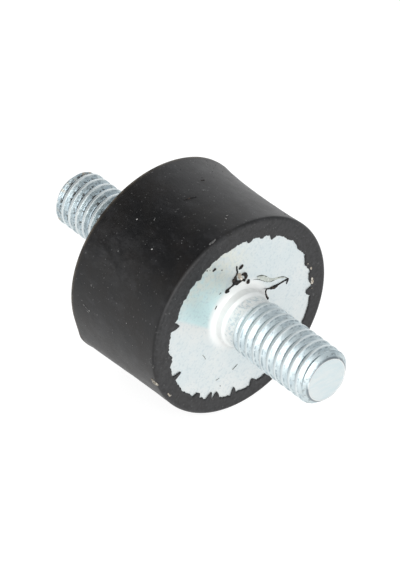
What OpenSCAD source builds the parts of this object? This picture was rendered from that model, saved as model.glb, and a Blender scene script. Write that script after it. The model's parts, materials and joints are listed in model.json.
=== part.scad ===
// Round rubber vibration mount with a one-piece steel stud plate bonded into each end.
// It lies with its axis along X and its front stud towards +X. The origin is the middle of the body.

/* [Stud plates] */
// Diameter of the round plate at the foot of each stud
plate_d = 25.4; // [16:0.1:40]
// Thickness of the plate
plate_t = 2; // [1:0.1:4]
// Rounding of the plate's rim
plate_edge_r = 0.4; // [0.1:0.05:0.45]
// Outside diameter of the stud's thread
stud_d = 7.94; // [5:0.01:10]
// Length of the stud from the plate's face to its tip
stud_length = 17.2; // [8:0.1:40]
// Radius of the flare where the plate runs into the stud's shank
flare_r = 1.7; // [0.5:0.1:2]
// Length of plain shank between the flare and the thread
shank_length = 0.2; // [0.2:0.1:3]
// How far the thread's crests stand out from the shank
crest_rise = 0.42; // [0.1:0.01:0.6]
// Length over which the thread runs out to the shank
runout_length = 0.8; // [0.4:0.1:2]
// Distance from one crest of the thread to the next
thread_pitch = 1.41; // [0.8:0.01:2]
// Depth of the thread's grooves
groove_depth = 0.42; // [0.2:0.01:0.6]
// Width of the thread's grooves at their mouth
groove_w = 0.48; // [0.3:0.01:0.6]
// Width of the floor of the thread's grooves
groove_floor = 0.08; // [0.02:0.01:0.2]
// Chamfer at the stud's tip
tip_chamfer = 0.9; // [0.3:0.1:1.5]

/* [Rubber body] */
// Length of the rubber between its two end faces
body_length = 17; // [10:0.5:60]
// Thickness of the rubber around the plate's rim
rim_cover = 1.6; // [1:0.1:5]
// Rounding of the rubber's edge at the front
front_edge_r = 0.5; // [0.2:0.1:1]
// Rounding of the rubber's edge at the rear, where the mould parted
rear_edge_r = 0.3; // [0.2:0.1:1]
// How far the side draws in halfway along the body
waist = 0.25; // [0.05:0.05:1]

/* [Flash film] */
// Thickness of the rubber film that laps over the plate's face
flash_t = 0.2; // [0.1:0.05:0.4]
// Mean width of the film, from the plate's rim inwards
flash_w = 0.85; // [0.5:0.05:2]
// How far the film's opening lies off the plate's middle
flash_shift = 0.35; // [0:0.05:0.4]
// Height of the small waves along the film's torn edge
flash_wave = 0.1; // [0:0.01:0.3]

/* [Hidden] */
$fn = 96;

rubber_color = [0.13, 0.13, 0.14];
zinc_color = [0.86, 0.9, 0.91];

plate_r = plate_d / 2;
stud_r = stud_d / 2;
shank_r = stud_r - crest_rise;
// Height above the plate's face at which the thread begins to run out
thread_foot = flare_r + shank_length;
// Heights between which the thread has its full diameter
thread_low = thread_foot + runout_length;
thread_high = stud_length - tip_chamfer;
// Height of the groove next to the tip, and how many grooves there is room for
groove_high = thread_high - thread_pitch + groove_w / 2;
groove_count = floor((groove_high - groove_w / 2 - thread_low) / thread_pitch) + 1;
body_r = plate_r + rim_cover;
// Distance of each plate's outer face from the middle of the body
plate_face = body_length / 2 - flash_t;
// Mean radius of the film's torn edge
flash_r = plate_r - flash_w;
// Half of the side's length between its rounded edges, its middle, and the radius of the hollow arc along it
side_half = (body_length - front_edge_r - rear_edge_r) / 2;
side_mid = (rear_edge_r - front_edge_r) / 2;
waist_r = (side_half * side_half + waist * waist) / (2 * waist);

// Points round each torn edge
flash_points = 240;
// The three waves that make the edge ragged: count round the edge and start angle
flash_waves = [[11, 40], [23, 150], [37, 0]];
// Angle of the side on which the opening's shift leaves the film narrowest
flash_shift_angle = 290;
// Tongues of film that reach further in: angle, half of the angle they take up, and depth in film widths.
// The angle is counted as seen from that end, anticlockwise from the right.
front_tongues = [[-8, 4, 1.05], [2, 6, 0.5], [15, 8, 0.8], [30, 6, 0.35], [62, 4, 0.65], [72, 3, 0.3],
                 [82, 4, 0.45], [126, 3, 0.35], [155, 4, 0.35], [162, 4, 1.5], [187, 5, 0.5],
                 [203, 3, 1.35], [233, 4, 0.85], [245, 3, 1.3], [250, 4, 1.2], [265, 3, 1.2], [281, 3, 0.8]];
rear_tongues = [[22, 5, 0.7], [48, 4, 0.5], [75, 4, 1], [104, 6, 0.35], [131, 6, 0.45], [160, 4, 0.8],
                [188, 4, 1.1], [236, 5, 0.75], [259, 4, 0.4], [301, 4, 1.05], [333, 6, 0.35]];

// Difference of two angles, from -180 to 180
function angle_gap(a, b) = (a - b + 540) % 360 - 180;

// How far one tongue reaches in at an angle
function tongue_depth(angle, tongue) =
    let (off = angle_gap(angle, tongue[0]) / tongue[1])
    abs(off) < 1 ? tongue[2] * flash_w * (1 - off * off) : 0;

// Radius of the torn edge at an angle
function flash_edge(angle, tongues) =
    let (waves = [for (w = flash_waves) sin(w[0] * angle + w[1])])
    flash_r + flash_shift * cos(angle - flash_shift_angle)
    + flash_wave * (waves * [for (w = flash_waves) 1]) / len(flash_waves)
    - max([for (t = tongues) tongue_depth(angle, t)]);

// Lays a shape that stands along Z on the X axis, facing the front or the rear
module at_end(rear = false) {
    rotate([0, 0, rear ? 180 : 0])
        rotate([90, 0, 90])
            children();
}

// Half section of the round plate with its outer face at zero and both corners of its rim rounded
module plate_section() {
    translate([0, -plate_t])
        square([plate_r - plate_edge_r, plate_t]);
    translate([0, plate_edge_r - plate_t])
        square([plate_r, plate_t - 2 * plate_edge_r]);
    for (corner = [-plate_edge_r, plate_edge_r - plate_t])
        translate([plate_r - plate_edge_r, corner])
            circle(plate_edge_r);
}

// Sections of the thread's grooves. Each turn is a ring, so that the crests between them stay a true cylinder.
module thread_grooves() {
    for (i = [0 : 1 : groove_count - 1])
        translate([stud_r, groove_high - i * thread_pitch])
            polygon([[0, -groove_w / 2], [-groove_depth, -groove_floor / 2], [-groove_depth, groove_floor / 2],
                     [0, groove_w / 2], [groove_depth, groove_w / 2], [groove_depth, -groove_w / 2]]);
}

// Half section of the stud, from the back of the plate to its chamfered tip, with the flare at its foot
module stud_section() {
    difference() {
        polygon([[0, -plate_t], [shank_r, -plate_t], [shank_r, thread_foot], [stud_r, thread_low],
                 [stud_r, thread_high], [stud_r - tip_chamfer, stud_length], [0, stud_length]]);
        thread_grooves();
    }
    translate([shank_r, 0])
        difference() {
            translate([-flare_r, -plate_t / 2])
                square([2 * flare_r, plate_t / 2 + flare_r]);
            translate([flare_r, flare_r])
                circle(flare_r);
        }
}

module stud_plate() {
    translate([0, 0, plate_face])
        rotate_extrude() {
            plate_section();
            stud_section();
        }
}

// Half section of the rubber before the plates go in: a hollow side and a rounded edge at each end
module rubber_section() {
    difference() {
        translate([0, -body_length / 2])
            square([body_r, body_length]);
        translate([body_r - waist + waist_r, side_mid])
            circle(waist_r, $fn = 4 * $fn);
        corner_cut(front_edge_r);
        mirror([0, 1])
            corner_cut(rear_edge_r);
    }
}

// What rounding takes off the section's outer corner
module corner_cut(edge_r) {
    translate([body_r - edge_r, body_length / 2 - edge_r])
        difference() {
            square(2 * edge_r);
            circle(edge_r);
        }
}

// Outline of the opening that the torn film leaves over a plate
module flash_outline(tongues) {
    polygon([for (i = [0 : flash_points - 1])
        let (angle = 360 * i / flash_points)
        flash_edge(angle, tongues) * [cos(angle), sin(angle)]]);
}

// Room that one stud plate and the opening in its film take out of the rubber
module end_socket(tongues) {
    translate([0, 0, plate_face])
        rotate_extrude()
            plate_section();
    translate([0, 0, plate_face - plate_t / 2])
        linear_extrude(plate_t / 2 + 2 * flash_t)
            flash_outline(tongues);
}

module rubber_body() {
    color(rubber_color)
        difference() {
            at_end()
                rotate_extrude()
                    rubber_section();
            at_end()
                end_socket(front_tongues);
            at_end(rear = true)
                end_socket(rear_tongues);
        }
}

module front_stud_plate() {
    color(zinc_color)
        at_end()
            stud_plate();
}

module rear_stud_plate() {
    color(zinc_color)
        at_end(rear = true)
            stud_plate();
}

rubber_body();
front_stud_plate();
rear_stud_plate();
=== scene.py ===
import json
import math
import random

import bmesh
import bpy
import numpy as np
from mathutils import Matrix, Vector, noise


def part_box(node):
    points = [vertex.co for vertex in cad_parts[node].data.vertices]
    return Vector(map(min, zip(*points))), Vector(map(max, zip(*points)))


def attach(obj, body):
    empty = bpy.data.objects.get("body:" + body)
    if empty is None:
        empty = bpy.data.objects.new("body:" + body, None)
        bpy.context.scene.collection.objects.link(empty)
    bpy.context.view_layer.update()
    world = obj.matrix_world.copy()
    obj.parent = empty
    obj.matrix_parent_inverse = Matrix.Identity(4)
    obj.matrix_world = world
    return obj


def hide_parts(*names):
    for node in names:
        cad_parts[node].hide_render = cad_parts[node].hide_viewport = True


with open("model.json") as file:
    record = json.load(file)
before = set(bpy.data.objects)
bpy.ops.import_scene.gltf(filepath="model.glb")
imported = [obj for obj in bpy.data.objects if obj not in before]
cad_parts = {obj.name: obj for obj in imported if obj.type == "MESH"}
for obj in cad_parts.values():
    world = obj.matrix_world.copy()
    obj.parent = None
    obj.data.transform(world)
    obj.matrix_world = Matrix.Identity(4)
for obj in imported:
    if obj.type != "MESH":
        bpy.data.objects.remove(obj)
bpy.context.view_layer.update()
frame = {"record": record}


# ---------------------------------------------------------------------------------------------------------------
# Stud plates. Each is one cold-headed steel piece: a round plate that flares into a stud, on which a coarse
# right-hand thread is rolled. It is zinc plated, and the rubber is moulded round the plate's rim and bonded to it.

mm = 0.001
plate_low, plate_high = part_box("front_stud_plate")
plate_radius = plate_high.z
plate_back = plate_low.x
plate_thickness = 2.0 * mm
plate_face = plate_back + plate_thickness
plate_edge = 0.4 * mm
stud_length = plate_high.x - plate_face
stud_radius = frame["record"]["mounts"][0]["dims"]["r_mm"] * mm
crest_rise = 0.3 * mm
shank_radius = stud_radius - crest_rise
flare_rise, flare_length, flare_bow = 1.5 * mm, 1.55 * mm, 1.25
flare_outside = shank_radius + flare_rise
tip_chamfer = 0.9 * mm
tip_radius = stud_radius - tip_chamfer

# The tip's rim is turned over into a low bead round a face that is sunk a little: how far each ring lies below the
# tip's height and inside the foot of its chamfer, in millimetres
tip_rings = [(0.02, -0.02), (0.0, 0.04), (0.01, 0.12), (0.06, 0.19), (0.06, 0.32), (0.03, 0.6), (0.03, 1.6)]
tip_sink = 0.03 * mm

# The thread has 18 turns to the inch. It starts above the shank and reaches its full depth within one turn.
thread_pitch = 25.4 * mm / 18
thread_depth = 0.36 * thread_pitch
crest_half = thread_pitch / 7.5
root_half = thread_pitch / 14
thread_shift = 0.2 * mm
thread_from, thread_full = 2.6 * mm, 4.0 * mm
thread_sharpness = 10.0

# Unevenness of the plate's face, of the rolled stud, and of the chatter marks on the shank
face_ripple, stud_ripple, chatter_ripple = 0.03 * mm, 0.022 * mm, 0.07 * mm

stud_columns = 144
thread_rows_per_turn = 28
# Share of a face's radius at which its innermost ring lies
hub = 0.01


def smooth_step(low, high, value):
    """0 below low, 1 above high, and smooth between."""
    part = np.clip((value - low) / (high - low), 0, 1)
    return part * part * (3 - 2 * part)


def soft_ramp(value):
    """A ramp from 0 to 1 whose two corners are rounded as a thread roller leaves them."""
    return np.logaddexp(0, thread_sharpness * value) / thread_sharpness \
        - np.logaddexp(0, thread_sharpness * (value - 1)) / thread_sharpness


def stud_surface(height, turn):
    """Radius of the stud at a height above the plate's face, for each angle of the ring."""
    phase = ((height - thread_shift) / thread_pitch - turn / (2 * math.pi)) % 1.0
    from_crest = np.abs(phase - 0.5) * thread_pitch
    flank_foot = thread_pitch / 2 - root_half
    crest_share = soft_ramp((flank_foot - from_crest) / (flank_foot - crest_half))
    threaded = stud_radius - thread_depth * (1 - crest_share)
    rolled = smooth_step(thread_from, thread_full, height)
    down_flare = max(0.0, 1 - height / flare_length)
    blank = shank_radius + flare_rise * (1 - (1 - down_flare ** flare_bow) ** (1 / flare_bow))
    chamfered = stud_radius - max(0.0, height - (stud_length - tip_chamfer))
    return np.minimum(blank + rolled * (threaded - shank_radius), chamfered)


def ring(x, radius, turn):
    """Points round the X axis. Distance and radius are numbers, or one number for each angle."""
    return np.stack(np.broadcast_arrays(x, radius * np.cos(turn), radius * np.sin(turn)), axis=-1)


def ripple(points, size, seed):
    """Soft unevenness between about -0.5 and 0.5, with waves of the given size, at each point."""
    shift = Vector((seed * 7.3, seed * 3.1, seed * 5.7))
    return np.array([noise.noise(Vector(p) / size + shift) for p in points])


def placed(name, data):
    """A new object in the scene."""
    made = bpy.data.objects.new(name, data)
    bpy.context.scene.collection.objects.link(made)
    return made


def lathe_skin(name, rings):
    """A closed mesh through rings of points, drawn to a point at its first and last ring."""
    rings = np.array(rings)
    count, columns, _ = rings.shape
    points = np.concatenate([rings.reshape(-1, 3), [rings[0].mean(axis=0), rings[-1].mean(axis=0)]])
    here = np.arange(columns)
    beside = np.roll(here, -1)
    band = np.stack([here, beside, beside + columns, here + columns], axis=1)
    faces = np.concatenate([band + row * columns for row in range(count - 1)]).tolist()
    first_pole, last_pole = count * columns, count * columns + 1
    last_row = (count - 1) * columns
    for a, b in zip(here.tolist(), beside.tolist()):
        faces.append((first_pole, b, a))
        faces.append((last_row + a, last_row + b, last_pole))
    mesh = bpy.data.meshes.new(name)
    mesh.from_pydata(points.tolist(), [], faces)
    mesh.shade_smooth()
    return placed(name, mesh)


def stud_plate_rings(seed):
    """Rings of a stud plate that faces +X, from the middle of the plate's back to the middle of the stud's tip."""
    turn = np.linspace(0, 2 * math.pi, stud_columns, endpoint=False)
    quarter = np.linspace(0, math.pi / 2, 6)
    rings = [ring(plate_back, share * plate_radius, turn) for share in (hub, 0.4, 0.8)]
    for bend in quarter:
        rings.append(ring(plate_back + plate_edge * (1 - math.cos(bend)),
                          plate_radius - plate_edge * (1 - math.sin(bend)), turn))
    for bend in quarter:
        rings.append(ring(plate_face - plate_edge * (1 - math.sin(bend)),
                          plate_radius - plate_edge * (1 - math.cos(bend)), turn))
    for radius in np.linspace(plate_radius - plate_edge, flare_outside, 34)[1:-1]:
        flat = ring(plate_face, radius, turn)
        from_edges = min(plate_radius - plate_edge - radius, radius - flare_outside)
        flat[:, 0] += face_ripple * (ripple(flat, 4 * mm, seed) - 0.3) * smooth_step(0, 1.5 * mm, from_edges)
        rings.append(flat)
    flare_foot = 0.3 * mm
    for share in np.linspace(0, 1, 9)[:-1]:
        height = flare_foot * share ** 1.5
        rings.append(ring(plate_face + height, stud_surface(height, turn), turn))
    for height in np.arange(flare_foot, stud_length - 0.08 * mm, thread_pitch / thread_rows_per_turn):
        around = ring(height, stud_radius, turn)
        chatter = smooth_step(1.5 * mm, 1.8 * mm, height) * (1 - smooth_step(2.8 * mm, 3.1 * mm, height))
        uneven = stud_ripple * ripple(around, 1.1 * mm, seed) \
            + chatter_ripple * chatter * ripple(around, 0.4 * mm, seed + 5)
        rings.append(ring(plate_face + height, stud_surface(height, turn) + uneven, turn))
    for below, inside in tip_rings:
        rings.append(ring(plate_face + stud_length - below * mm, tip_radius - inside * mm, turn))
    rings.append(ring(plate_face + stud_length - tip_sink, hub * tip_radius, turn))
    return np.array(rings)


class Wire:
    """One value in a material's nodes. Arithmetic on it adds Math nodes, and node() adds a node of any kind."""

    def __init__(self, tree, socket):
        self.tree = tree
        self.socket = socket

    def node(self, kind, settings, values, output=0):
        made = self.tree.nodes.new(kind)
        for name, setting in settings.items():
            setattr(made, name, setting)
        for name, value in values.items():
            socket = next(s for s in made.inputs if s.identifier == name)
            if isinstance(value, Wire):
                self.tree.links.new(value.socket, socket)
            else:
                socket.default_value = value
        return Wire(self.tree, made.outputs[output])

    def into(self, shader, name):
        self.tree.links.new(self.socket, shader.inputs[name])

    def math(self, operation, first, second):
        return self.node("ShaderNodeMath", {"operation": operation}, {"Value": first, "Value_001": second})

    def __add__(self, other):
        return self.math("ADD", self, other)

    def __sub__(self, other):
        return self.math("SUBTRACT", self, other)

    def __rsub__(self, other):
        return self.math("SUBTRACT", other, self)

    def __mul__(self, other):
        return self.math("MULTIPLY", self, other)

    __radd__ = __add__
    __rmul__ = __mul__

    def __abs__(self):
        return self.math("ABSOLUTE", self, 0.0)

    def step(self, low, high):
        """0 below low, 1 above high, and smooth between."""
        return self.node("ShaderNodeMapRange", {"interpolation_type": "SMOOTHSTEP"},
                         {"Value": self, "From Min": low, "From Max": high})

    def axis(self, index):
        """One coordinate of a place."""
        return self.node("ShaderNodeSeparateXYZ", {}, {"Vector": self}, index)

    def length(self):
        """Distance of a place from the origin."""
        return self.node("ShaderNodeVectorMath", {"operation": "LENGTH"}, {"Vector": self}, 1)

    def across(self):
        """Distance of a place from the X axis."""
        return self.stretched(0.0, 1.0, 1.0).length()

    def moved(self, x, y, z):
        return self.node("ShaderNodeVectorMath", {"operation": "ADD"},
                         {"Vector": self, "Vector_001": (x, y, z)})

    def stretched(self, x, y, z):
        return self.node("ShaderNodeVectorMath", {"operation": "MULTIPLY"},
                         {"Vector": self, "Vector_001": (x, y, z)})

    def clouds(self, size, detail=2.0, rough=0.5):
        """Noise from about 0.3 to 0.7 at a place, with clouds of the given size."""
        return self.node("ShaderNodeTexNoise", {},
                         {"Vector": self, "Scale": 1 / size, "Detail": detail, "Roughness": rough})

    def between(self, low, high):
        """A colour from low, where this value is 0, to high, where it is 1."""
        ends = [end if isinstance(end, Wire) else (*end, 1.0) for end in (low, high)]
        return self.node("ShaderNodeMix", {"data_type": "RGBA"},
                         {"Factor_Float": self, "A_Color": ends[0], "B_Color": ends[1]}, 2)

    def bumped(self, strength, depth):
        """The surface's normal over bumps that this value gives."""
        return self.node("ShaderNodeBump", {}, {"Height": self, "Strength": strength, "Distance": depth})


def new_finish(name):
    """A new material, its shader, and the place on the piece to work its nodes from."""
    finish = bpy.data.materials.new(name)
    finish.use_nodes = True
    tree = finish.node_tree
    place = Wire(tree, tree.nodes.new("ShaderNodeTexCoord").outputs["Object"])
    return finish, tree.nodes["Principled BSDF"], place


def coated(base, coats):
    """A colour under coats of other colours: each coat has its share at every place, from 0 to 1, and its colour."""
    for share, colour in coats:
        base = share.between(base, colour)
    return base


def zinc_plate(name, soil_and_root_shade):
    """Bright zinc over rolled steel: cool and warm tints, fine grain, dirt that settles in the thread, and
    painted light and shade: a reflection on the plate, a glow on the flare, shade in the thread's roots, shadow
    lines at the crests and the chamfer, and a highlight on the tip's bead.
    """
    finish, shader, place = new_finish(name)
    cool, warm, reflection_cyan, cream = (0.605, 0.665, 0.675), (0.69, 0.71, 0.70), (0.57, 0.725, 0.73), (0.68, 0.70, 0.645)
    thread_blue, streak_and_shade_blue, shadow_line_blue = (0.55, 0.645, 0.67), (0.40, 0.49, 0.54), (0.26, 0.32, 0.35)
    satin_and_highlight_white, flare_glow_white, tan = (0.80, 0.82, 0.81), (0.77, 0.785, 0.775), (0.42, 0.32, 0.21)
    burr_shadow_grey, speck_grey, soil_brown = (0.18, 0.21, 0.23), (0.34, 0.34, 0.33), (0.06, 0.056, 0.05)
    tint = place.clouds(6 * mm, 4.0, 0.6).step(0.3, 0.7)
    grain = place.clouds(0.16 * mm, 3.0, 0.6)
    blotch = place.clouds(0.9 * mm, 4.0, 0.6)
    height = abs(place.axis(0)) - plate_face
    across = place.across()
    sideways, up = place.axis(1), place.axis(2)

    # The plate's face: a painted blue-green reflection of the stud, in a zone with one slanted edge, a cream zone above
    # it, and a fine speckle
    flat = height.step(0.8 * mm, 0.1 * mm)
    slant = up + 0.73 * sideways
    stud_reflection = slant.step(-3.7 * mm, -2.8 * mm) * slant.step(9.5 * mm, 3.5 * mm) \
        * sideways.step(-1.0 * mm, -3.5 * mm)
    upper = up.step(3.0 * mm, 9.0 * mm) * sideways.step(4.0 * mm, -3.0 * mm)
    speckle = place.clouds(0.35 * mm, 2.0).step(0.5, 0.72)

    # The flare: a satin finish, painted paler as a glow, that fades out a little off the stud's middle, and chatter
    # marks above it
    from_flare = place.moved(0.0, 0.2 * mm, -0.5 * mm).across()
    flare_satin_glow = from_flare.step(flare_outside + 0.35 * mm, flare_outside - 0.75 * mm) * height.step(3.4 * mm, 2.9 * mm)
    chatter = height.step(1.4 * mm, 1.8 * mm) * height.step(3.2 * mm, 2.8 * mm) \
        * place.stretched(0.6, 1.0, 1.0).clouds(0.32 * mm, 2.0).step(0.5, 0.6)

    # The thread: streaks that the rollers left, pale crests with a broken painted shadow line at their edges, painted
    # shade in the roots, and dirt flecks
    outer = across.step(tip_radius - 0.3 * mm, tip_radius)
    threaded = height.step(2.9 * mm, 3.5 * mm) * outer
    # Depth in the thread's roots, for the painted shade there and for the dirt flecks
    deep = across.step(stud_radius - 0.25 * thread_depth, stud_radius - thread_depth) \
        * across.step(tip_radius, stud_radius - 1.2 * thread_depth)
    rolled = place.stretched(3.0, 1.0, 1.0).clouds(1.1 * mm, 4.0, 0.65).step(0.42, 0.7) * threaded
    crest = across.step(stud_radius - 0.10 * mm, stud_radius - 0.03 * mm) * threaded
    # Painted shadow line along each crest's edge
    line = across.step(stud_radius - 0.26 * mm, stud_radius - 0.16 * mm) \
        * across.step(stud_radius - 0.02 * mm, stud_radius - 0.10 * mm) * threaded
    broken = place.clouds(0.7 * mm, 4.0, 0.7).step(0.42, 0.6)
    flecks = place.stretched(1.6, 1.0, 1.0).clouds(0.5 * mm, 3.0, 0.65).step(0.57 - 0.08 * soil_and_root_shade, 0.64 - 0.05 * soil_and_root_shade)
    specks = place.clouds(0.5 * mm, 2.0).step(0.74, 0.8)

    # The tip: a sawn end with a painted highlight on the bead round it, a stain on the last turns, and a painted shadow
    # line at the chamfer, where a burr would cast it
    end = height.step(stud_length - 0.12 * mm, stud_length - 0.07 * mm) \
        * across.step(tip_radius, tip_radius - 0.3 * mm)
    sawn = place.stretched(1.0, 0.35, 1.6).clouds(0.7 * mm, 4.0, 0.6).step(0.4, 0.65)
    # Painted highlight: a pale ring on the tip's bead
    bead = height.step(stud_length - 0.05 * mm, stud_length - 0.01 * mm) \
        * across.step(tip_radius - 0.22 * mm, tip_radius - 0.12 * mm)
    last_turns = height.step(stud_length - 1.7 * mm, stud_length - 0.6 * mm) * outer
    stain = place.clouds(0.8 * mm, 3.0).step(0.5, 0.62)
    # Painted shadow line at the chamfer's edge, as a burr would cast it
    chamfer = height.step(stud_length - 0.3 * mm, stud_length - 0.12 * mm) \
        * across.step(tip_radius - 0.1 * mm, tip_radius)
    burr_shadow_noise = place.clouds(1.4 * mm, 3.0).step(0.36, 0.52)

    metal = coated(tint.between(cool, warm), (
        # Painted reflection of the stud: a blue-green tint on the plate's face
        (flat * stud_reflection * (0.5 + 0.6 * tint), reflection_cyan),
        (flat * upper * blotch.step(0.3, 0.6), cream),
        (flat * speckle * 0.36, streak_and_shade_blue),
        (threaded * 0.7, thread_blue),
        (end * (0.25 + 0.5 * sawn), thread_blue),
        # Satin finish on the flare, with a painted glow in its paler colour
        (flare_satin_glow, flare_glow_white),
        (chatter * 0.55, streak_and_shade_blue),
        (rolled * (0.55 + 0.2 * soil_and_root_shade), streak_and_shade_blue),
        # Painted shade in the thread's roots, stronger on the rear stud
        (threaded * deep * soil_and_root_shade * 0.8, streak_and_shade_blue),
        (crest * (0.3 + 0.2 * soil_and_root_shade), satin_and_highlight_white),
        # Painted shadow line at the crests' edges, broken by noise
        (line * broken * 0.85, shadow_line_blue),
        # Painted highlight on the tip's bead
        (bead * 0.9, satin_and_highlight_white),
        (last_turns * stain * soil_and_root_shade * 0.7, tan),
        # Painted shadow line at the chamfer's edge
        (chamfer * burr_shadow_noise * 0.85, burr_shadow_grey),
        (specks * (0.2 + 0.6 * soil_and_root_shade), speck_grey),
        (threaded * deep * flecks * (0.35 + 0.6 * soil_and_root_shade), soil_brown)))
    metal.into(shader, "Base Color")
    (0.75 + 0.22 * threaded - 0.3 * flare_satin_glow - (0.25 - 0.15 * soil_and_root_shade) * crest).into(shader, "Metallic")
    (0.28 + 0.14 * blotch + 0.1 * grain + 0.12 * flare_satin_glow + 0.12 * crest).into(shader, "Roughness")
    (grain + 2.0 * blotch).bumped(0.24, 0.01 * mm).into(shader, "Normal")
    return finish


front_plate = lathe_skin("front_plate_and_stud", stud_plate_rings(1))
front_plate.data.materials.append(zinc_plate("zinc_front", 0.15))
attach(front_plate, "root")
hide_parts("front_stud_plate")

turned_round = np.array([-1.0, -1.0, 1.0])
rear_plate = lathe_skin("rear_plate_and_stud", stud_plate_rings(2) * turned_round)
rear_plate.data.materials.append(zinc_plate("zinc_rear", 1.0))
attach(rear_plate, "root")
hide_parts("rear_stud_plate")


# ---------------------------------------------------------------------------------------------------------------
# Rubber body. Black rubber moulded round both plates in one shot, slightly waisted, with a tight rear edge where
# the mould parted. A thin film of flash laps over each plate's rim, torn to a ragged edge when it was trimmed.

body_low, body_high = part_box("rubber_body")
body_radius = body_high.z
body_half = body_high.x
front_edge, rear_edge = 0.5 * mm, 0.2 * mm
body_waist = 0.25 * mm
body_columns = 720
# Unevenness of the end faces and of the side
end_ripple, side_ripple = 0.025 * mm, 0.02 * mm

# The film's opening lies a little off the plate's middle. Tongues of film reach further in: each has its angle,
# half of the angle that it takes up, both in degrees, and its depth in widths of the film.
film_width = 0.85 * mm
film_radius = plate_radius - film_width
film_shift = 0.35 * mm
film_shift_angle = 290.0
film_thickness = 0.21 * mm
front_tongues = [(-8, 3.4, 1.05), (2, 6, 0.5), (15, 8, 0.8), (30, 6, 0.35), (62, 3, 0.65), (72, 2.4, 0.3),
                 (82, 3, 0.45), (126, 2.6, 0.35), (155, 4, 0.35), (162, 3, 1.4), (187, 5, 0.5),
                 (203.2, 1.7, 1.45), (233, 3.2, 0.85), (244.6, 2.2, 1.25), (250.4, 3, 1.2), (264.8, 2, 1.25),
                 (280.5, 3, 0.85)]
rear_tongues = [(22, 5, 0.7), (48, 4, 0.5), (75, 4, 1), (104, 6, 0.35), (131, 6, 0.45), (160, 4, 0.8),
                (188, 4, 1.1), (236, 5, 0.75), (259, 4, 0.4), (301, 4, 1.05), (333, 6, 0.35)]
# Fraying along the torn edge: the height of its waves and their length, in millimetres
film_frays = [(0.16, 0.45), (0.16, 1.3), (0.12, 0.26)]
front_film_seed, rear_film_seed = 11, 23
# The film's lip is rounded: how far each ring lies outside the torn edge and below the end's face, in millimetres
lip_width = 0.22 * mm
film_lip = [(0.12, 0.03), (0.03, 0.08), (0.0, 0.13), (0.02, 0.21)]


def angle_off(degrees, angle):
    """How far angles lie from one angle, from -180 to 180 degrees."""
    return (degrees - angle + 180) % 360 - 180


def film_edge(turn, tongues, seed):
    """Radius of the film's torn edge at each angle."""
    degrees = np.degrees(turn)
    reach = np.zeros_like(turn)
    for angle, half, depth in tongues:
        off = angle_off(degrees, angle) / half
        reach = np.maximum(reach, depth * film_width * np.clip(1 - off ** 2, 0, 1))
    around = ring(0.0, film_radius, turn)
    frayed = sum(height * mm * ripple(around, wave * mm, seed + i) for i, (height, wave) in enumerate(film_frays))
    return film_radius + film_shift * np.cos(np.radians(degrees - film_shift_angle)) - reach + frayed


def rubber_end_rings(turn, edge, tongues, seed):
    """Rings of the front end: its rounded edge, its face, the film's lip, and the socket under the plate."""
    rings = []
    for bend in np.linspace(0, math.pi / 2, 9):
        rings.append(ring(body_half - edge * (1 - math.sin(bend)),
                          body_radius - edge * (1 - math.cos(bend)), turn))
    torn = film_edge(turn, tongues, seed)
    lip_top = torn + lip_width
    face_from = body_radius - edge
    for share in np.linspace(0, 1, 11)[1:]:
        face = ring(body_half, face_from + share * (lip_top - face_from), turn)
        face[:, 0] += end_ripple * (ripple(face, 0.9 * mm, seed) - 0.5) * min(1.0, 4 * share)
        rings.append(face)
    for outside, below in film_lip:
        rings.append(ring(body_half - below * mm, torn + outside * mm, turn))
    for x, radius in ((body_half - film_thickness, plate_radius), (plate_back, plate_radius),
                      (plate_back, 0.5 * plate_radius), (plate_back, hub * plate_radius)):
        rings.append(ring(x, radius, turn))
    return np.array(rings)


# The rear edge stands out in places, where the mould parted, as broad swells and thin fins of flash: angle up from
# the near side, how far each goes to both sides of it, all in degrees, its height and how far it reaches along the
# side, in millimetres
rear_swells = [(-31, 22, 9, 0.34, 8.5), (140, 20, 22, 0.10, 3.0), (222, 14, 25, 0.16, 3.0),
               (-31, 12, 5, 0.16, 0.25), (122, 16, 10, 0.08, 0.25), (148, 14, 12, 0.10, 0.25),
               (232, 8, 16, 0.12, 0.25)]
# The side's waist is fuller low on the near side: angle and spread of that zone, in degrees, and the share it fills
full_angle, full_spread, full_share = -40, 38, 0.95


def rear_swelling(degrees, from_rear):
    """How far the swells and fins push the side out, at each angle and distance from the rear face."""
    total = np.zeros_like(degrees)
    for angle, below, above, height, reach in rear_swells:
        off = angle_off(degrees, angle)
        spread = np.where(off < 0, below, above)
        total += height * mm * np.exp(-(off / spread) ** 2 - (from_rear / (reach * mm)) ** 2)
    return total


def parted_edge(rings):
    """The rings with the rear edge pushed out to its swells and fins."""
    out = np.hypot(rings[..., 1], rings[..., 2])
    degrees = np.degrees(np.arctan2(rings[..., 2], -rings[..., 1]))
    from_rear = rings[..., 0] + body_half
    outer = smooth_step(body_radius - 2.0 * mm, body_radius - 0.3 * mm, out)
    rings[..., 1:] *= (1 + outer * rear_swelling(degrees, from_rear) / out)[..., None]
    return rings


def side_waist(degrees):
    """How far the side draws in halfway along the body, at each angle."""
    return body_waist * (1 - full_share * np.exp(-(angle_off(degrees, full_angle) / full_spread) ** 2))


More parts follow.
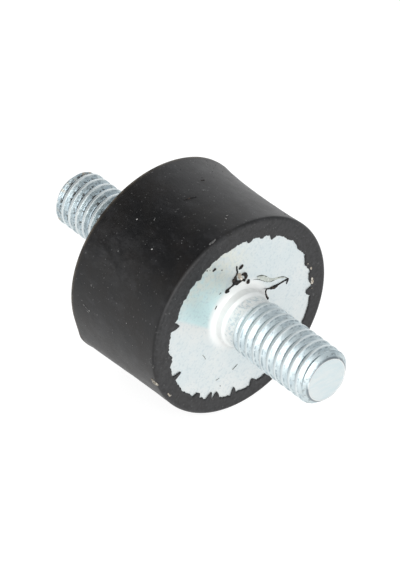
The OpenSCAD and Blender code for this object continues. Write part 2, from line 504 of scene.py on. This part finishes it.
def rubber_rings():
    """Rings of the whole body, from the middle of its rear socket to the middle of its front one."""
    turn = np.linspace(0, 2 * math.pi, body_columns, endpoint=False)
    front = rubber_end_rings(turn, front_edge, front_tongues, front_film_seed)
    rear = rubber_end_rings(math.pi - turn, rear_edge, rear_tongues, rear_film_seed)[::-1] * turned_round
    side_from, side_to = rear_edge - body_half, body_half - front_edge
    middle, half = (side_from + side_to) / 2, (side_to - side_from) / 2
    waist = side_waist(180 - np.degrees(turn))
    side = []
    for x in np.linspace(side_from, side_to, 42)[1:-1]:
        drawn_in = 1 - ((x - middle) / half) ** 2
        wall = ring(x, body_radius - waist * drawn_in, turn)
        uneven = side_ripple * (ripple(wall, 1.6 * mm, 31) - 0.5) * min(1.0, 3 * drawn_in)
        wall[:, 1:] *= (1 + uneven / body_radius)[:, None]
        side.append(wall)
    return parted_edge(np.concatenate([rear, side, front]))


def moulded_rubber(name):
    """Black rubber with a dull bloom, fine grain, rub marks and a little pale dust, and a painted sheen and highlight
    line on the rear rim.
    """
    finish, shader, place = new_finish(name)
    black, brown, bloom = (0.0035, 0.0035, 0.004), (0.006, 0.005, 0.0045), (0.016, 0.016, 0.017)
    smudge_grey, rub_grey, end_grey = (0.024, 0.024, 0.026), (0.05, 0.05, 0.051), (0.026, 0.026, 0.0275)
    rim_sheen_brown, edge_highlight_tan, dust_grey = (0.022, 0.018, 0.014), (0.10, 0.085, 0.065), (0.1, 0.1, 0.1)
    shader.inputs["Specular IOR Level"].default_value = 0.36
    cloud = place.clouds(5 * mm, 4.0, 0.6)
    grain = place.clouds(0.14 * mm, 2.0)
    fine = place.clouds(0.5 * mm, 4.0, 0.65)
    streaks = place.stretched(0.25, 1.0, 1.0).clouds(0.35 * mm, 3.0)
    dusty = place.clouds(0.32 * mm, 1.0).step(0.70, 0.76)
    along = place.axis(0)

    # Smudges all over, and one place on the near side that is rubbed dull
    smudge = place.stretched(0.5, 1.0, 1.0).clouds(2.2 * mm, 5.0, 0.65).step(0.5, 0.68)
    from_rub = place.moved(3.2 * mm, 11.1 * mm, -8.8 * mm).stretched(0.7, 1.0, 1.0).length()
    rubbed = from_rub.step(5.5 * mm, 0.5 * mm)
    wiped = place.stretched(0.6, 1.0, 1.0).clouds(1.5 * mm, 6.0, 0.72).step(0.36, 0.66)

    # The duller end faces, a painted brownish sheen on the rear rim, and a painted pale highlight line along the edge
    # where the mould parted
    end = abs(along).step(body_half - 0.3 * mm, body_half - 0.06 * mm)
    rim = along.step(-7.8 * mm, -8.15 * mm) * place.across().step(13.4 * mm, 13.9 * mm)
    # Painted highlight line along the rear edge
    parting_edge_highlight = along.step(-8.12 * mm, -8.22 * mm) * along.step(-8.42 * mm, -8.34 * mm)
    patchy = place.clouds(1.2 * mm, 3.0).step(0.4, 0.55)

    rubber = coated(cloud.step(0.4, 0.65).between(black, brown), (
        (fine.step(0.5, 0.75) * 0.45, bloom),
        (smudge * 0.45, smudge_grey),
        (rubbed * wiped * 0.42, rub_grey),
        (end * (0.2 + 0.6 * fine.step(0.36, 0.64)), end_grey),
        # Painted brownish sheen on the rear rim's rounding
        (rim * (0.4 + fine), rim_sheen_brown),
        # Painted pale highlight line along the rear edge
        (parting_edge_highlight * patchy * 0.8, edge_highlight_tan),
        (dusty * 0.6, dust_grey)))
    rubber.into(shader, "Base Color")
    (0.28 + 0.2 * cloud + 0.14 * fine).into(shader, "Roughness")
    (grain + fine * 1.5 + streaks).bumped(0.3, 0.03 * mm).into(shader, "Normal")
    return finish


rubber_body = lathe_skin("rubber_body_moulding", rubber_rings())
rubber_body.data.materials.append(moulded_rubber("black_rubber"))
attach(rubber_body, "root")
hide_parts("rubber_body")


# ---------------------------------------------------------------------------------------------------------------
# Scraps and marks on the front plate. Torn bits of the moulding's flash that stuck to the zinc: a lump with arms, a
# few crumbs, and one long curled shred that starts at the stud's foot. Beside them the plating is lifted and scratched,
# with painted shade and painted shadow lines along the lifted edge.

# Strokes on the plate's face: places to the right and up in millimetres, each with the stroke's radius there
scrap_strokes = [
    [(-1.10, 6.30, 0.22), (-0.85, 5.95, 0.36), (-0.60, 5.62, 0.36)], [(-0.77, 6.61, 0.18), (-0.85, 6.10, 0.30)],
    [(-0.55, 5.58, 0.32), (-0.10, 5.55, 0.20), (0.30, 5.60, 0.16), (0.73, 5.45, 0.16)],
    [(0.41, 6.43, 0.20), (0.79, 6.39, 0.24), (1.02, 6.00, 0.26), (0.96, 5.66, 0.20), (0.73, 5.36, 0.16)],
    [(-0.54, 8.15, 0.12), (-0.54, 7.76, 0.13), (-0.42, 7.23, 0.12), (-0.60, 6.80, 0.13)],
    [(0.41, 7.90, 0.17), (0.12, 7.71, 0.22), (-0.08, 7.60, 0.14)], [(1.40, 5.00, 0.25), (1.28, 4.85, 0.22)],
    [(-0.93, 5.66, 0.24), (-1.28, 5.42, 0.14), (-1.76, 5.26, 0.12), (-2.14, 5.15, 0.20), (-2.25, 4.95, 0.24),
     (-1.90, 4.88, 0.15)],
    [(-4.41, 9.34, 0.15), (-4.08, 9.50, 0.17)], [(-2.99, 8.76, 0.09)], [(-5.42, 9.83, 0.11)], [(-4.95, 9.65, 0.08)],
    [(-3.13, 5.24, 0.07), (-3.40, 5.10, 0.06)], [(-3.84, 3.45, 0.08), (-4.12, 3.06, 0.07)], [(-3.35, 1.25, 0.07)],
    [(-0.94, -8.33, 0.06)], [(-3.22, -9.81, 0.10)],
]
shred_strokes = [
    [(7.80, 1.40, 0.08), (7.92, 1.73, 0.13), (8.00, 2.06, 0.16), (7.60, 2.07, 0.13), (7.19, 2.04, 0.12),
     (6.79, 2.00, 0.12), (6.36, 1.96, 0.14), (5.88, 1.87, 0.27), (5.40, 1.91, 0.22), (4.92, 2.03, 0.12),
     (4.29, 2.28, 0.10), (3.95, 2.29, 0.11), (3.79, 2.10, 0.12), (3.77, 1.79, 0.14), (4.00, 1.30, 0.20)]]
# Pale residue in the middle of the lump, along the film's edge, and in nicks at the rubber's front edge
residue_strokes = [
    [(-0.30, 6.77, 0.15), (0.01, 6.75, 0.17), (-0.11, 6.29, 0.26), (0.15, 6.05, 0.24)],
    [(0.13, 5.80, 0.14), (0.42, 5.84, 0.12)],
    [(11.74, 2.19, 0.13), (11.80, 1.95, 0.10)], [(11.93, 0.41, 0.14), (11.98, -0.05, 0.18), (11.95, -0.59, 0.12)],
    [(11.22, 3.08, 0.10)], [(11.95, -1.20, 0.09)],
    [(-12.05, -6.50, 0.09), (-11.76, -7.02, 0.11)], [(-11.55, -7.00, 0.08)]]
# A blister of plating beside the shred, coloured grey-green as painted soft shade, the two dark lines of painted
# shadow that bound it, and three thin scratches
blister_strokes = [
    [(3.00, 4.72, 0.14), (3.71, 4.34, 0.30), (4.31, 3.87, 0.34), (4.91, 3.39, 0.28), (5.51, 3.20, 0.18),
     (6.40, 3.00, 0.15), (7.40, 2.65, 0.12)]]
# Dark painted shadow lines beside the blister, and three thin scratches
shadow_line_and_scratch_strokes = [
    [(2.80, 4.92, 0.05), (3.23, 4.89, 0.08), (3.65, 4.75, 0.09), (4.13, 4.43, 0.09), (4.52, 4.04, 0.09),
     (4.81, 3.67, 0.06)],
    [(2.16, 4.81, 0.04), (2.75, 4.55, 0.06), (3.35, 4.21, 0.07), (3.95, 3.76, 0.10), (4.55, 3.36, 0.11),
     (5.10, 3.09, 0.11), (5.63, 3.00, 0.09), (6.01, 3.09, 0.08), (6.46, 3.06, 0.08), (7.06, 2.88, 0.08),
     (7.55, 2.60, 0.08), (7.89, 2.28, 0.07)],
    [(-6.17, -3.30, 0.05), (-5.92, -3.66, 0.06), (-5.67, -4.23, 0.05)],
    [(-1.17, -8.18, 0.05), (-0.75, -7.94, 0.06), (-0.33, -7.74, 0.05)],
    [(-3.96, -8.55, 0.05), (-3.42, -8.46, 0.05)]]
# Share by which a bead's radius varies, and the size of the cells, in millimetres, in which beads merge into lumps
bead_spread = 0.2
merge_cell = 0.045


def flare_height(y, z):
    """Height of the flare over the plate's face at a place on it, in millimetres."""
    inward = min(1.0, max(0.0, flare_outside / mm - math.hypot(y, z)) * mm / flare_rise)
    return flare_length / mm * (1 - (1 - inward ** flare_bow) ** (1 / flare_bow))


def stuck_beads(stroke):
    """Beads along a stroke, close enough to merge: places on the plate and radii in millimetres."""
    beads = [stroke[-1]]
    for (y0, z0, r0), (y1, z1, r1) in zip(stroke, stroke[1:]):
        steps = max(1, math.ceil(math.hypot(y1 - y0, z1 - z0) / (0.5 * min(r0, r1))))
        for i in range(steps):
            part = i / steps
            beads.append((y0 + part * (y1 - y0), z0 + part * (z1 - z0), r0 + part * (r1 - r0)))
    return beads


def stuck_lumps(name, strokes, seed, flat):
    """One mesh of lumps that lie on the front plate, merged from flattened beads along each stroke."""
    draw = random.Random(seed)
    built = bmesh.new()
    for stroke in strokes:
        for y, z, radius in stuck_beads(stroke):
            radius *= draw.uniform(1 - bead_spread, 1 + bead_spread)
            torn = film_edge(np.array([math.atan2(z, y)]), front_tongues, front_film_seed)[0] / mm
            film = body_half / mm - plate_face / mm if math.hypot(y, z) > torn + 0.1 else 0.0
            base = plate_face / mm + flare_height(y, z) + film + 0.2 * flat * radius
            place = Matrix.Translation((base, y, z)) @ Matrix.Diagonal((flat, 1, 1, 1))
            bmesh.ops.create_icosphere(built, subdivisions=2, radius=radius, matrix=place)
    mesh = bpy.data.meshes.new(name)
    built.to_mesh(mesh)
    built.free()
    piece = placed(name, mesh)
    merge = piece.modifiers.new("merge", "REMESH")
    merge.mode = "VOXEL"
    merge.voxel_size = merge_cell
    ease = piece.modifiers.new("ease", "SMOOTH")
    ease.iterations = 3
    merged = bpy.data.meshes.new_from_object(piece.evaluated_get(bpy.context.evaluated_depsgraph_get()))
    piece.modifiers.clear()
    piece.data = merged
    merged.transform(Matrix.Scale(mm, 4))
    merged.shade_smooth()
    return piece


def torn_rubber(name, dark, light):
    """Torn rubber and what clings to it: rough and crumbly, in two tones."""
    finish, shader, place = new_finish(name)
    cloud = place.clouds(0.4 * mm, 3.0)
    grain = place.clouds(0.08 * mm, 2.0)
    cloud.step(0.48, 0.7).between(dark, light).into(shader, "Base Color")
    (0.5 + 0.3 * grain).into(shader, "Roughness")
    (grain + cloud).bumped(0.5, 0.03 * mm).into(shader, "Normal")
    shader.inputs["Specular IOR Level"].default_value = 0.3
    return finish


torn_finish = torn_rubber("torn_rubber", (0.003, 0.003, 0.0035), (0.045, 0.03, 0.021))
residue_finish = torn_rubber("pale_residue", (0.32, 0.28, 0.23), (0.84, 0.80, 0.73))
# Grey-green painted soft shade on the plating blister
blister_shade_finish = torn_rubber("lifted_plating_painted_shade", (0.42, 0.45, 0.41), (0.68, 0.71, 0.68))
# Dark painted shadow lines beside the blister; the same finish draws three thin scratches
shadow_line_and_scratch_finish = torn_rubber("crease_shadow_and_scratch_finish", (0.07, 0.08, 0.07), (0.24, 0.26, 0.23))
for name, strokes, seed, flat, finish, slot in (
        ("rubber_scraps", scrap_strokes, 41, 0.7, torn_finish, "rubber"),
        ("rubber_shred", shred_strokes, 43, 0.7, torn_finish, "rubber"),
        ("pale_residue", residue_strokes, 44, 0.9, residue_finish, "rubber"),
        ("plating_blister", blister_strokes, 47, 0.4, blister_shade_finish, "zinc"),
        ("crease_shadow_lines_and_scratches", shadow_line_and_scratch_strokes, 48, 0.7, shadow_line_and_scratch_finish, "zinc")):
    piece = stuck_lumps(name, strokes, seed, flat)
    piece.data.materials.append(finish)
    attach(piece, "root")


# ---------------------------------------------------------------------------------------------------------------
# Dust, scratches and a chip on the rubber. Pale dust that clings to the skin, a few dry scratches, and a chip at the
# front edge where the rubber has torn to a lighter core.

# Each speck on the side: place along the body from its middle in millimetres, angle up from the near side in
# degrees, width along the body and round it in millimetres
side_specks = [
    (-0.95, 96.2, 0.32, 0.26), (-1.45, 64.6, 0.50, 0.16), (-3.50, 58.9, 0.26, 0.22), (1.45, 51.0, 0.24, 0.22),
    (0.10, 51.0, 0.14, 0.12), (-2.95, 39.7, 0.26, 0.24), (4.30, 63.8, 0.20, 0.16), (4.55, 62.6, 0.16, 0.14),
    (4.20, 65.6, 0.12, 0.12), (5.90, 55.0, 0.16, 0.14), (6.00, 5.2, 0.22, 0.18), (7.84, -4.1, 0.28, 0.24),
    (8.20, -5.4, 0.24, 0.22),
    (2.50, 8.8, 0.14, 0.12), (6.80, 18.0, 0.16, 0.12), (-0.10, -3.4, 0.14, 0.12), (4.00, -1.5, 0.14, 0.10),
    (-6.20, 13.9, 0.14, 0.12), (-7.00, 4.9, 0.12, 0.12), (5.35, 91.5, 0.50, 0.12), (5.70, 89.0, 0.16, 0.42),
]
# Strokes on the side: place along the body, angle up from the near side, and the stroke's radius there
pale_scratches = [
    [(-6.10, 1.2, 0.05), (-5.40, 0.5, 0.06), (-4.75, -0.3, 0.04)], [(-5.30, -1.0, 0.04), (-4.90, -1.6, 0.04)],
    [(7.95, 74.5, 0.12), (8.00, 72.5, 0.16), (7.95, 70.8, 0.12)],
]
dark_scratches = [
    [(-0.35, 89.5, 0.07), (-0.60, 87.0, 0.10), (-0.85, 83.5, 0.06)], [(-2.90, 103.5, 0.10), (-2.95, 102.0, 0.10)],
]
chips = [[(7.28, -16.7, 0.18), (7.75, -17.5, 0.30), (8.15, -17.9, 0.26)]]
# Length of one degree round the side, in millimetres
degree_length = body_radius / mm * math.pi / 180


def on_side(x, angle):
    """A place on the rubber's side, in millimetres, and the direction out of it there."""
    side_from, side_to = rear_edge - body_half, body_half - front_edge
    along = (x * mm - (side_from + side_to) / 2) / ((side_to - side_from) / 2)
    swell = rear_swelling(np.array([float(angle)]), x * mm + body_half)[0]
    radius = float(body_radius - side_waist(angle) * max(0.0, 1 - along ** 2) + swell) / mm
    out = Vector((0, -math.cos(math.radians(angle)), math.sin(math.radians(angle))))
    return Vector((x, 0, 0)) + radius * out, out


def side_lumps(name, beads, seed):
    """One mesh of small flattened lumps on the rubber's side, kept inside the body's box."""
    draw = random.Random(seed)
    noise.seed_set(seed)
    built = bmesh.new()
    for x, angle, along, around in beads:
        place, out = on_side(x, angle)
        turned = out.to_track_quat("Z", "Y").to_matrix().to_4x4()
        low = 0.3 * min(along, around)
        shape = Matrix.Translation(place) @ turned @ Matrix.Rotation(draw.uniform(-0.4, 0.4), 4, "Z") \
            @ Matrix.Diagonal((around / 2, along / 2, low, 1))
        lump = bmesh.ops.create_icosphere(built, subdivisions=2, radius=1.0, matrix=shape)
        for vertex in lump["verts"]:
            vertex.co += 0.25 * min(along, around) * noise.noise_vector(9.0 * vertex.co)
            for axis in range(3):
                vertex.co[axis] = min(max(vertex.co[axis], body_low[axis] / mm), body_high[axis] / mm)
    mesh = bpy.data.meshes.new(name)
    built.to_mesh(mesh)
    built.free()
    mesh.transform(Matrix.Scale(mm, 4))
    mesh.shade_smooth()
    return placed(name, mesh)


def scratch_beads(strokes):
    """Beads for side_lumps along strokes of place, angle and radius."""
    beads = []
    for stroke in strokes:
        unrolled = [(x, angle * degree_length, radius) for x, angle, radius in stroke]
        for x, around, radius in stuck_beads(unrolled):
            beads.append((x, around / degree_length, 2 * radius, 2 * radius))
    return beads


draw = random.Random(53)
dust_beads = [(draw.uniform(-8.0, 7.8), draw.uniform(-60, 300), draw.uniform(0.06, 0.13), draw.uniform(0.06, 0.13))
              for _ in range(150)]
dust_beads += [(draw.uniform(-8.2, -3.0), draw.uniform(-20, 140), draw.uniform(0.06, 0.16), draw.uniform(0.06, 0.13))
               for _ in range(60)]
dust_finish = torn_rubber("pale_dust", (0.08, 0.08, 0.08), (0.42, 0.41, 0.40))
fine_finish = torn_rubber("fine_dust", (0.02, 0.02, 0.02), (0.09, 0.088, 0.085))
chip_finish = torn_rubber("torn_core", (0.20, 0.18, 0.15), (0.58, 0.55, 0.48))
for name, beads, finish in (
        ("dust_specks", side_specks, dust_finish),
        ("fine_dust", dust_beads, fine_finish),
        ("pale_scratches", scratch_beads(pale_scratches), dust_finish),
        ("dark_scratches", scratch_beads(dark_scratches), torn_finish),
        ("edge_chips", scratch_beads(chips), chip_finish)):
    piece = side_lumps(name, beads, 59)
    piece.data.materials.append(finish)
    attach(piece, "root")


# ---------------------------------------------------------------------------------------------------------------
# Studio. A white light table that the mount lies on, two large soft boxes in front of the stud, and a room that is
# bright at the horizon and dark above on the left.

floor_size = 1.2
floor_mesh = bpy.data.meshes.new("light_table")
floor_corners = [(x * floor_size, y * floor_size, body_low.z) for x, y in ((-1, -1), (1, -1), (1, 1), (-1, 1))]
floor_mesh.from_pydata(floor_corners, [], [(0, 1, 2, 3)])
floor = placed("light_table", floor_mesh)
floor_finish, floor_shader, floor_place = new_finish("white_table")
floor_shader.inputs["Base Color"].default_value = (0.25, 0.25, 0.25, 1.0)
floor_shader.inputs["Roughness"].default_value = 0.6
floor_shader.inputs["Emission Strength"].default_value = 1.0
floor_glow = floor_place.length().step(0.1, 0.4).between((0.88, 0.88, 0.88), (0.75, 0.75, 0.75))
floor_glow.into(floor_shader, "Emission Color")
floor_mesh.materials.append(floor_finish)

for name, place, energy in (("key_box", (0.42, -0.24, 0.29), 1.0), ("front_box", (0.42, -0.38, 0.13), 0.8)):
    box_data = bpy.data.lights.new(name, "AREA")
    box_data.shape = "RECTANGLE"
    box_data.size, box_data.size_y = 0.45, 0.3
    box_data.energy = energy
    soft_box = placed(name, box_data)
    soft_box.location = place
    soft_box.rotation_euler = Vector(place).to_track_quat("Z", "Y").to_euler()

room = bpy.data.worlds.new("room")
room.use_nodes = True
bpy.context.scene.world = room
room_tree = room.node_tree
room_way = Wire(room_tree, room_tree.nodes.new("ShaderNodeTexCoord").outputs["Generated"])
room_dark = room_way.axis(1).step(0.05, 0.6).between((0.11, 0.112, 0.117), (1.25, 1.26, 1.28))
room_left = room_way.axis(2).step(0.0, 0.4).between((1.5, 1.51, 1.53), room_dark)
room_right = room_way.axis(1).step(0.0, 0.7).between((1.0, 1.0, 1.0), (0.62, 0.64, 0.66))
room_way.axis(0).step(-0.45, -0.1).between(room_left, room_right).into(room_tree.nodes["Background"], "Color")

view_azimuth, view_elevation = math.radians(50.55), math.radians(37.27)
view_back = Vector((math.sin(view_azimuth) * math.cos(view_elevation),
                    -math.cos(view_azimuth) * math.cos(view_elevation), math.sin(view_elevation)))
view_right = Vector((math.cos(view_azimuth), math.sin(view_azimuth), 0))
view_up = view_back.cross(view_right)
view_aim = 0.188 * mm * view_right + 0.067 * mm * view_up
view_distance = 0.7732
camera_data = bpy.data.cameras.new("camera")
camera_data.lens = 378.95
camera_data.clip_start = 0.01
camera = placed("camera", camera_data)
camera.location = view_aim + view_distance * view_back
camera.rotation_euler = Matrix((view_right, view_up, view_back)).transposed().to_euler()
bpy.context.scene.camera = camera
bpy.context.scene.view_settings.view_transform = "Standard"
